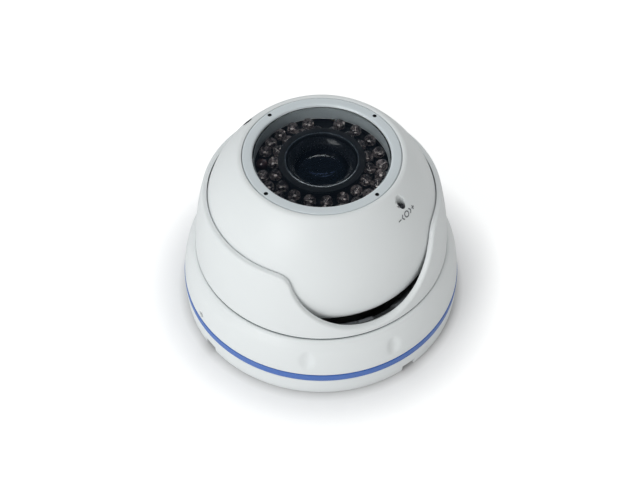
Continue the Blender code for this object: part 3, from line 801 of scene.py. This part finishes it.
def bezel_screws():
    """Slotted heads, sunk just below the ring's face."""
    for i, azimuth in enumerate(BEZEL_SCREW_AZ):
        name = "bezel_screw_%d" % (i + 1)
        centre = centre_of(name)
        low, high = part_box(name)
        top, foot = high.z / MM - 0.05, low.z / MM
        profile = [(0.0, top), (0.6, top), (0.74, top - 0.06), (0.79, top - 0.2), (0.79, top - 0.6),
                   (0.45, top - 0.8), (0.45, foot), (0.0, foot)]
        bm = bmesh.new()
        lathe_into(bm, profile, TINY, 0.0, centre, closed=False)
        made = made_object("bezel_screw_head_%d" % (i + 1), bm, SCREW_AND_BORE_SHADE_BLACK)
        cutter = bmesh.new()
        box_into(cutter, (0.9, 0.2, 0.6), (*centre, top), azimuth + 20.0)
        carve(made, cutter)
        place(made, "ball_front", "steel", name)


bezel_screws()


def screw_bore_shade():
    """Black rings lining the bores round the four sunk screw heads: painted shade in the bores."""
    profile = [(0.8, 81.8), (0.845, 81.8), (0.845, 81.0), (0.8, 81.0)]
    bm = bmesh.new()
    for azimuth in BEZEL_SCREW_AZ:
        lathe_into(bm, profile, TINY, 0.0, polar(azimuth, BEZEL_SCREW_CIRCLE))
    return made_object("screw_bore_shade", bm, SCREW_AND_BORE_SHADE_BLACK, 30.0)


place(screw_bore_shade(), "ball_front", "dark_steel")

pane = lathe("window_pane",
             [(0.0, 80.8), (27.4, 80.8), (27.55, 80.65), (27.55, 80.35), (27.4, 80.2), (0.0, 80.2)],
             ROUND, PANE, smooth_deg=12.0)
pane.visible_shadow = False
place(pane, "ball_front", "clear_glass", "front_glass")


# ---------------------------------------------------------------- lamps

# (azimuth, radius) of each lamp. The outer ring is uneven, with a gap where the light sensor sits.
INNER_LAMPS = [(6.0 + 20.0 * k, 19.2) for k in range(18)]
OUTER_LAMPS = [(a, 24.1) for a in (3, 19, 35, 50.5, 66, 78.5, 91.5, 108, 126, 145, 163, 194, 210, 225,
                                   239.5, 252, 284, 299, 315, 331, 347)]

# A lamp's body: its radius, the height of its foot and the height at which its dome begins.
LAMP_R = 2.45
LAMP_FOOT = 72.45
LAMP_SPRING = 74.6
DOME_STEPS = 7

# The reflector cup and the flange of a lamp's lead frame.
REFLECTOR_STEPS, FLANGE_STEPS = 16, 20
REFLECTOR = ((0.0, 73.85), (0.35, 73.9), (0.85, 74.55), (1.0, 74.55), (1.0, 74.3), (0.8, 73.6),
             (0.7, 72.7), (0.0, 72.7))
FLANGE = ((0.0, 73.3), (1.6, 73.2), (2.1, 73.5), (2.2, 73.5), (2.2, 72.9), (0.0, 72.9))

# The carriers' top and foot, and the collar round each lamp.
CARRIER_TOP = 73.0
CARRIER_FOOT = 70.9
COLLAR = ((2.47, 73.85), (2.58, 73.85), (2.63, 73.75), (2.63, 72.8), (2.47, 72.8))


def dome_into(bm, centre):
    """A lamp's clear body."""
    profile = [(0.0, LAMP_SPRING + LAMP_R)]
    for k in range(1, DOME_STEPS + 1):
        a = math.radians(90.0 - 90.0 * k / DOME_STEPS)
        profile.append((LAMP_R * math.cos(a), LAMP_SPRING + LAMP_R * math.sin(a)))
    profile += [(LAMP_R, LAMP_FOOT), (0.0, LAMP_FOOT)]
    lathe_into(bm, profile, TINY, 0.0, centre, closed=False)


def lamps(name, places):
    """Clear domed bodies, each over a lead frame with its cup, its die, its bond wire and small white chips
    as painted glints.
    """
    domes, frames, dies_and_glints = bmesh.new(), bmesh.new(), bmesh.new()
    chance = random.Random(name)
    for azimuth, radius in places:
        x, y = centre = polar(azimuth, radius)
        dome_into(domes, centre)
        spin = chance.uniform(0.0, 360.0)
        offset = polar(spin, 0.35)
        cup_at = (x + offset[0], y + offset[1])
        lathe_into(frames, REFLECTOR, REFLECTOR_STEPS, 0.0, cup_at, closed=False)
        lathe_into(frames, FLANGE, FLANGE_STEPS, 0.0, centre, closed=False)
        post = polar(spin + 180.0, 1.25)
        box_into(frames, (0.75, 0.5, 1.9), (x + post[0], y + post[1], 73.6), spin + 180.0)
        box_into(frames, (1.5, 0.22, 0.3), (x, y, 73.25), spin + 40.0)
        box_into(dies_and_glints, (0.6, 0.5, 0.2), (*cup_at, 74.02), spin)
        # Three small white chips round each frame: painted glints.
        for _ in range(3):
            glint_spot = polar(chance.uniform(0.0, 360.0), chance.uniform(0.9, 1.8))
            box_into(dies_and_glints, (0.34, 0.16, 0.1), (x + glint_spot[0], y + glint_spot[1], 73.62),
                     chance.uniform(0.0, 180.0), 20.0)
        wire = polar(spin + 180.0, 0.45)
        box_into(dies_and_glints, (0.1, 1.35, 0.1), (x + wire[0], y + wire[1], 74.65), spin, 8.0)
    made = made_object(name + "_domes", domes, EPOXY, 50.0)
    made.visible_shadow = False
    return (made, made_object(name + "_frames", frames, FRAME_WITH_GLINTS, 30.0),
            made_object(name + "_dies", dies_and_glints, DIE_AND_GLINT_WHITE, 30.0))


def holder(name, inner, outer, places, node_name):
    """The black carrier under a ring of lamps, with a raised collar round each."""
    profile = softened([(inner, CARRIER_TOP), (outer, CARRIER_TOP), (outer, CARRIER_FOOT),
                        (inner, CARRIER_FOOT)], 0.3, 3)
    bm = bmesh.new()
    lathe_into(bm, profile, ROUND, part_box(node_name)[0].z / MM - CARRIER_FOOT)
    for azimuth, radius in places:
        lathe_into(bm, COLLAR, TINY, 0.0, polar(azimuth, radius))
    return made_object(name, bm, MOULD_BLACK, 34.0)


for ring_name, spots, inner_r, outer_r, cad_node in (
        ("lamp_inner", INNER_LAMPS, 16.6, 21.4, "led_ring_inner"),
        ("lamp_outer", OUTER_LAMPS, 22.0, 26.8, "led_ring_outer")):
    for piece in lamps(ring_name, spots):
        place(piece, "ball_front", "led_epoxy" if piece.name.endswith("domes") else "steel")
    carrier = holder(ring_name + "_carrier", inner_r, outer_r, spots, cad_node)
    place(carrier, "ball_front", "black_plastic", cad_node)


def light_sensor():
    profile = [(0.0, 76.0), (0.9, 75.93), (1.6, 75.72), (2.1, 75.3), (2.28, 74.8), (2.3, 73.6),
               (2.2, 73.5), (0.0, 73.5)]
    bm = bmesh.new()
    raised = lift(profile, "light_sensor")
    lathe_into(bm, profile, SMALL, raised, centre_of("light_sensor"), closed=False)
    made = made_object("sensor_window", bm, RED_WINDOW, 40.0)
    place(made, "ball_front", "sensor_red", "light_sensor")


light_sensor()


# ---------------------------------------------------------------- lens

shroud = lathe("shroud_ring",
               [(14.5, 78.05), (14.6, 78.2), (15.1, 78.38), (15.4, 78.42), (17.2, 78.42), (17.45, 78.35),
                (17.58, 78.15), (17.6, 77.6), (17.45, 77.4), (16.25, 76.75), (16.2, 76.5), (16.2, 71.0),
                (16.1, 70.9), (14.5, 70.9), (14.4, 71.0), (14.4, 77.5), (14.42, 77.8)],
               LENS_STEPS, MOULD_BLACK)
place(shroud, "ball_front", "black_plastic", "lens_shroud")

edge = lathe("hood_edge",
             [(14.42, 78.30), (14.68, 78.385), (14.95, 78.44), (14.95, 78.2), (14.42, 78.15)],
             ROUND, EDGE_BLACK, smooth_deg=20.0)
place(edge, "ball_front", "black_plastic")

cell = lathe("lens_cell",
             [(12.75, 76.9), (12.85, 77.1), (13.1, 77.2), (13.6, 77.2), (13.82, 77.1), (13.9, 76.9),
              (13.9, 60.0), (9.0, 60.0), (9.0, 70.2), (11.2, 72.0), (11.2, 75.15), (11.35, 75.3),
              (11.6, 75.35), (12.0, 75.7)],
             LENS_STEPS, SATIN_BLACK, "lens_front_cell")
place(cell, "lens_front", "black_plastic", "lens_front_cell")


# The baffles inside the cell: six steps, each narrower and lower than the last.
BAFFLES = 6
BAFFLE_OUTER_R = 8.95
BAFFLE_TALL = 0.9
BAFFLE_NARROWS = 0.85
BAFFLE_PITCH = 1.35


def glass(made):
    """A lens casts no shadow, so the lamps light the barrel behind it."""
    made.visible_shadow = False
    return made


def front_element():
    """The domed front glass."""
    profile = [(0.0, 75.4), (1.4, 75.36), (2.8, 75.26), (4.2, 75.08), (5.6, 74.83), (7.0, 74.48),
               (8.4, 74.05), (9.6, 73.6), (10.5, 73.2), (10.75, 73.0), (10.8, 72.7), (10.6, 72.4),
               (9.5, 72.35), (6.0, 72.0), (3.0, 71.8), (0.0, 71.75)]
    bm = bmesh.new()
    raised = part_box("lens_front_element")[1].z / MM - profile[0][1]
    lathe_into(bm, profile, LENS_STEPS, raised, closed=False)
    return glass(made_object("front_lens", bm, LENS, 60.0))


def lens_steps():
    """The ring of baffles that narrows the barrel behind the front glass."""
    bm = bmesh.new()
    outer, z = 8.8, 71.2
    for _ in range(BAFFLES):
        inner = outer - BAFFLE_NARROWS
        foot = z - BAFFLE_TALL
        step = [(inner, z), (BAFFLE_OUTER_R, z), (BAFFLE_OUTER_R, foot), (inner, foot)]
        lathe_into(bm, softened(step, 0.12, 2), FINE)
        outer, z = inner, z - BAFFLE_PITCH
    return made_object("lens_steps", bm, SATIN_BLACK, 30.0)


def second_lens():
    bm = bmesh.new()
    profile = [(0.0, 66.4), (1.2, 66.32), (2.4, 66.1), (3.3, 65.75), (3.6, 65.5), (3.6, 64.3), (0.0, 64.3)]
    lathe_into(bm, profile, FINE, closed=False)
    return glass(made_object("second_lens", bm, LENS, 60.0))


def iris_plate():
    bm = bmesh.new()
    lathe_into(bm, [(0.0, 63.0), (8.8, 63.0), (8.8, 62.6), (0.0, 62.6)], FINE, closed=False)
    return made_object("iris_plate", bm, MOULD_BLACK, 30.0)


place(front_element(), "lens_front", "lens_glass", "lens_front_element")
place(lens_steps(), "lens_front", "black_plastic")
place(second_lens(), "lens_front", "lens_glass")
place(iris_plate(), "lens_front", "black_plastic")


# ---------------------------------------------------------------- printed focus sign

# The sign's middle on the ball, how far it stands off the paint, and the width of its strokes in mm.
SIGN_AZ = 54.3
SIGN_ANGLE = 56.9
SIGN_LIFT = 0.035
SIGN_STROKE = 0.5


def on_ball(across, down):
    """The point of the ball that lies so many millimetres across and down from the sign's middle."""
    a, p = math.radians(SIGN_AZ), math.radians(SIGN_ANGLE)
    out = Vector((math.sin(p) * math.sin(a), -math.sin(p) * math.cos(a), math.cos(p)))
    right = Vector((math.cos(a), math.sin(a), 0.0))
    fall = right.cross(out) * -1.0
    direction = (out * BALL_R + right * across + fall * down).normalized()
    return (Vector((0.0, 0.0, BALL_Z)) + direction * (BALL_R + SIGN_LIFT)) * MM


def stroke_into(bm, points):
    """A flat band along a line of points."""
    left, right = [], []
    for i, (x, y) in enumerate(points):
        x0, y0 = points[max(0, i - 1)]
        x1, y1 = points[min(len(points) - 1, i + 1)]
        size = math.hypot(x1 - x0, y1 - y0)
        nx, ny = -(y1 - y0) / size * SIGN_STROKE / 2, (x1 - x0) / size * SIGN_STROKE / 2
        left.append(bm.verts.new(on_ball(x + nx, y + ny)))
        right.append(bm.verts.new(on_ball(x - nx, y - ny)))
    for i in range(len(points) - 1):
        bm.faces.new((left[i], left[i + 1], right[i + 1], right[i]))


def focus_sign():
    """Generic sign for the focus adjuster: a ring between two arrowheads, with a minus and a plus."""
    bm = bmesh.new()
    stroke_into(bm, [(-5.2, 0.0), (-4.4, 0.0), (-3.6, 0.0)])
    stroke_into(bm, [(3.6, 0.0), (4.4, 0.0), (5.2, 0.0)])
    stroke_into(bm, [(4.4, -0.9), (4.4, 0.0), (4.4, 0.9)])
    angles = [math.radians(t) for t in range(0, 361, 15)]
    stroke_into(bm, [(1.15 * math.cos(t), 1.15 * math.sin(t)) for t in angles])
    for side in (-1.0, 1.0):
        for end, middle in ((-1.15, -0.58), (1.15, 0.58)):
            stroke_into(bm, [(side * 2.0, end), (side * 2.45, middle), (side * 2.9, 0.0)])
    return made_object("focus_sign", bm, PRINT, 60.0)


place(focus_sign(), "ball_front", "black_plastic")


# ---------------------------------------------------------------- carried-over nodes

SLOT_OF = {part["node"]: part["material_slot"] for part in frame["record"]["subparts"]}

for cad_name, cad in frame["nodes"].items():
    if cad.hide_render:
        continue
    used = SLOT_OF[cad_name]
    cad.data.materials.clear()
    cad.data.materials.append(FINISH_OF_NODE.get(cad_name, FINISH_OF_SLOT[used]))
    cad.data.shade_smooth()
    cad.data.set_sharp_from_angle(angle=math.radians(30))


# ---------------------------------------------------------------- stage, light, camera

# How much the floor glows where the camera sees it, and the radii in mm between which its paint changes:
# dark under the base and paler at its edge, a painted contact shadow, and palest and glowing in the open.
FLOOR_GLOW = 0.46
SHADOW_FROM, SHADOW_TO = 56.0, 64.0
OPEN_FROM, OPEN_TO = 57.0, 84.0


def floor_material():
    """A pale sweep that the camera sees almost white, while its bounce on the object stays soft; painted
    shadow near the base.
    """
    made, tree, shader = shader_of("floor_sweep")
    where = node(tree, "ShaderNodeTexCoord")
    slow = noise(tree, 1.5, 2.0, where)
    spread = node(tree, "ShaderNodeVectorMath", operation="LENGTH")
    tree.links.new(where.outputs["Object"], spread.inputs[0])
    open_floor = ramp(tree, spread.outputs["Value"], 0.0, 1.0, OPEN_FROM * MM, OPEN_TO * MM)
    pale = tint(tree, slow.outputs["Fac"], (0.88, 0.88, 0.88), (0.9, 0.9, 0.9))
    shadowed_floor = node(tree, "ShaderNodeMix", data_type="RGBA")
    # Painted contact shadow: the paint darkens from the base's edge inwards.
    shadow_level = ramp(tree, spread.outputs["Value"], 0.0, 1.0, SHADOW_FROM * MM, SHADOW_TO * MM)
    tree.links.new(tint(tree, shadow_level, (0.30, 0.30, 0.31), (0.82, 0.82, 0.825)), shadowed_floor.inputs[MIX_A])
    tree.links.new(open_floor, shadowed_floor.inputs[MIX_FACTOR])
    tree.links.new(pale, shadowed_floor.inputs[MIX_B])
    tree.links.new(shadowed_floor.outputs[MIX_RESULT], shader.inputs["Base Color"])
    shader.inputs["Roughness"].default_value = 0.9
    shader.inputs["Specular IOR Level"].default_value = 0.05
    shader.inputs["Emission Color"].default_value = (1.0, 1.0, 1.0, 1.0)
    # The glow fades out towards the base too, which deepens the painted shadow.
    path = node(tree, "ShaderNodeLightPath")
    glow = node(tree, "ShaderNodeMath", operation="MULTIPLY")
    tree.links.new(ramp(tree, path.outputs["Is Camera Ray"], 0.0, FLOOR_GLOW), glow.inputs[0])
    tree.links.new(open_floor, glow.inputs[1])
    tree.links.new(glow.outputs[0], shader.inputs["Emission Strength"])
    return made


# Half the floor's side, in metres.
FLOOR_HALF = 4.0
floor_mesh = bmesh.new()
bmesh.ops.create_grid(floor_mesh, x_segments=4, y_segments=4, size=FLOOR_HALF)
floor = made_object("floor", floor_mesh, floor_material())
floor.location = (0.0, 0.0, cad_box[0].z)


def studio_world():
    """Soft room light, brighter and cooler on the left, and dim where a surface mirrors it."""
    world = bpy.data.worlds.new("studio")
    scene.world = world
    world.use_nodes = True
    tree = world.node_tree
    background = tree.nodes["Background"]
    where = node(tree, "ShaderNodeTexCoord")
    parts = node(tree, "ShaderNodeSeparateXYZ")
    tree.links.new(where.outputs["Generated"], parts.inputs["Vector"])
    side = ramp(tree, parts.outputs["X"], 0.0, 1.0, -1.0, 1.0)
    room = tint(tree, side, (0.66, 0.69, 0.70), (0.50, 0.495, 0.485))
    path = node(tree, "ShaderNodeLightPath")
    seen = node(tree, "ShaderNodeMix", data_type="RGBA")
    seen.inputs[MIX_B].default_value = (0.030, 0.048, 0.072, 1.0)
    tree.links.new(path.outputs["Is Glossy Ray"], seen.inputs[MIX_FACTOR])
    tree.links.new(room, seen.inputs[MIX_A])
    tree.links.new(seen.outputs[MIX_RESULT], background.inputs["Color"])


studio_world()


# The lamps look at this point of the product, in metres.
LIT_POINT = Vector((0.0, 0.0, 0.04))


def area_light(name, at, size, power, colour=(1.0, 1.0, 1.0), diffuse=True, height=None):
    """A round lamp, or a rectangular one where a height is given; sizes in metres and power in watts."""
    data = bpy.data.lights.new(name, "AREA")
    data.shape = "DISK" if height is None else "RECTANGLE"
    data.size = size
    if height is not None:
        data.size_y = height
    data.energy = power
    data.color = colour
    made = bpy.data.objects.new(name, data)
    made.location = at
    made.rotation_mode = "QUATERNION"
    made.rotation_quaternion = (LIT_POINT - Vector(at)).to_track_quat("-Z", "Y")
    made.visible_diffuse = diffuse
    scene.collection.objects.link(made)


area_light("key", (-0.78, -0.98, 0.55), 0.75, 6.7, (1.0, 0.998, 0.99))
area_light("top", (-0.14, -0.20, 1.20), 0.12, 0.9)
area_light("rim", (-0.1, 1.15, 0.50), 2.4, 3.8, diffuse=False, height=0.25)

# The photograph's camera: angles in radians, lengths in metres, and lens and sensor in mm.
ELEVATION = 0.86957
DISTANCE = 0.5
ROLL = 0.0076
AIM_HEIGHT = 0.040
SENSOR_WIDTH = 36.0
FOCAL_LENGTH = 66.37
SHIFT = (-0.0021, -0.0288)
CLIP = (0.01, 20.0)


def photo_camera():
    data = bpy.data.cameras.new("camera")
    data.sensor_width = SENSOR_WIDTH
    data.lens = FOCAL_LENGTH
    data.shift_x, data.shift_y = SHIFT
    data.clip_start, data.clip_end = CLIP
    made = bpy.data.objects.new("camera", data)
    scene.collection.objects.link(made)
    scene.camera = made
    middle = (cad_box[0] + cad_box[1]) / 2
    aim_at = Vector((middle.x, middle.y, cad_box[0].z + AIM_HEIGHT))
    back = Vector((0.0, -math.cos(ELEVATION), math.sin(ELEVATION)))
    roll = Matrix.Rotation(ROLL, 3, "Z").to_quaternion()
    made.rotation_mode = "QUATERNION"
    made.location = aim_at + back * DISTANCE
    made.rotation_quaternion = (-back).to_track_quat("-Z", "Y") @ roll


photo_camera()
